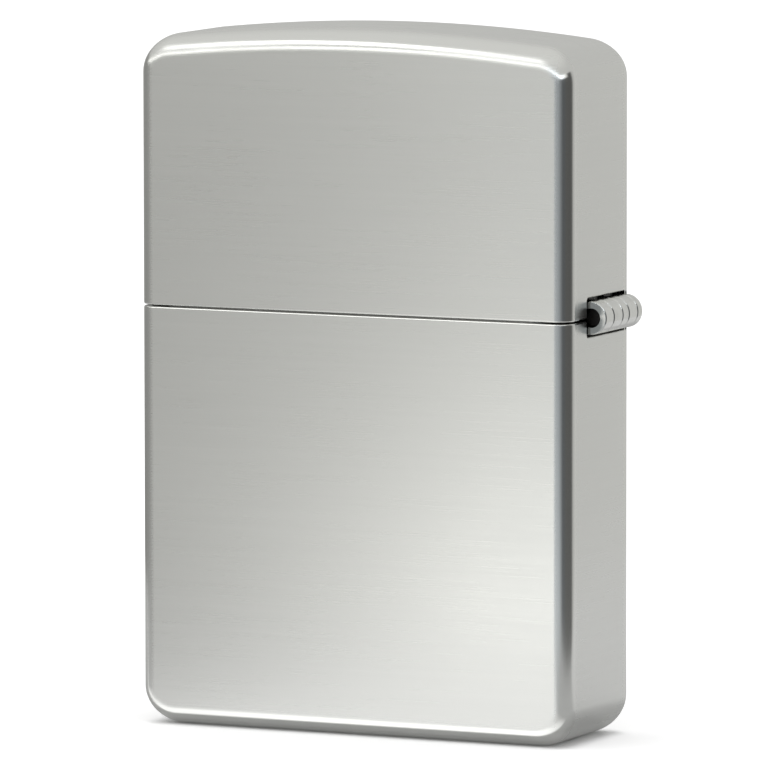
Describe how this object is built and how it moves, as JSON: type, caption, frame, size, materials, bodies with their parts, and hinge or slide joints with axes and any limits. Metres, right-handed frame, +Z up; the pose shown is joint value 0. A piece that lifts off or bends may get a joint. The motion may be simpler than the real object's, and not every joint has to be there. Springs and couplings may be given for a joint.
{
  "type": "flip-top wick lighter",
  "caption": "Flip-top wick lighter: brushed metal case, side-hinged lid, and an insert with windscreen, flint wheel, cam, wick and packed tank.",
  "frame": {"origin": "centre of the base, in the plane of the rim the case stands on", "axes": "+Z up, +X across the width towards the hinge, +Y through the thickness away from the pictured wide face"},
  "size_m": [0.0397, 0.0126, 0.057],
  "materials": {
    "satin_chrome": "satin chrome plate, fine brushed lines along the width",
    "hinge_chrome": "plain chrome plate",
    "insert_steel": "bare stainless sheet",
    "small_steel": "bare steel, lightly worn",
    "wheel_steel": "dark hardened steel with cut teeth",
    "spring_steel": "drawn spring wire",
    "brass": "turned brass",
    "flint_alloy": "dull pressed alloy",
    "wick_cotton": "braided cotton",
    "packing_cotton": "loose cotton wool",
    "felt": "pressed wool felt"
  },
  "bodies": {
    "case": {"bottom_case": "satin_chrome", "case_hinge_leaf": "hinge_chrome", "hinge_pin": "hinge_chrome", "insert_case": "insert_steel", "windscreen": "insert_steel", "wick_plate": "insert_steel", "wheel_rivet": "small_steel", "cam_rivet": "small_steel", "cam_spring": "small_steel", "spring_rivet": "small_steel", "flint_tube": "brass", "flint_screw": "brass", "flint_spring": "spring_steel", "wick": "wick_cotton", "packing_ball_1": "packing_cotton", "packing_ball_2": "packing_cotton", "packing_ball_3": "packing_cotton", "packing_ball_4": "packing_cotton", "packing_ball_5": "packing_cotton", "packing_ball_6": "packing_cotton", "felt_pad": "felt"},
    "lid": {"lid": "satin_chrome", "lid_hinge_leaf": "hinge_chrome"},
    "cam": {"cam": "small_steel"},
    "wheel": {"flint_wheel": "wheel_steel"},
    "flint": {"flint": "flint_alloy", "flint_pusher": "brass"}
  },
  "joints": [
    {"name": "lid_hinge", "type": "hinge", "parent": "case", "child": "lid", "pos_m": [0.01929, 0, 0.03425], "axis": [0, 1, 0], "range_deg": [0, 120]},
    {"name": "cam_pivot", "type": "hinge", "parent": "case", "child": "cam", "pos_m": [0.0122, 0, 0.0385], "axis": [0, 1, 0], "range_deg": [0, 40]},
    {"name": "wheel_spin", "type": "hinge", "parent": "case", "child": "wheel", "pos_m": [-0.0119, 0, 0.0422], "axis": [0, 1, 0], "continuous": true},
    {"name": "flint_feed", "type": "slide", "parent": "case", "child": "flint", "axis": [0, 0, 1], "range_m": [-0.003, 0], "stiffness_N_per_m": 120, "springref_m": 0.006, "deforming": ["flint_spring"]}
  ],
  "couplings": [
    {"joint": "cam_pivot", "follows": "lid_hinge", "ratio": 0.33333}
  ]
}
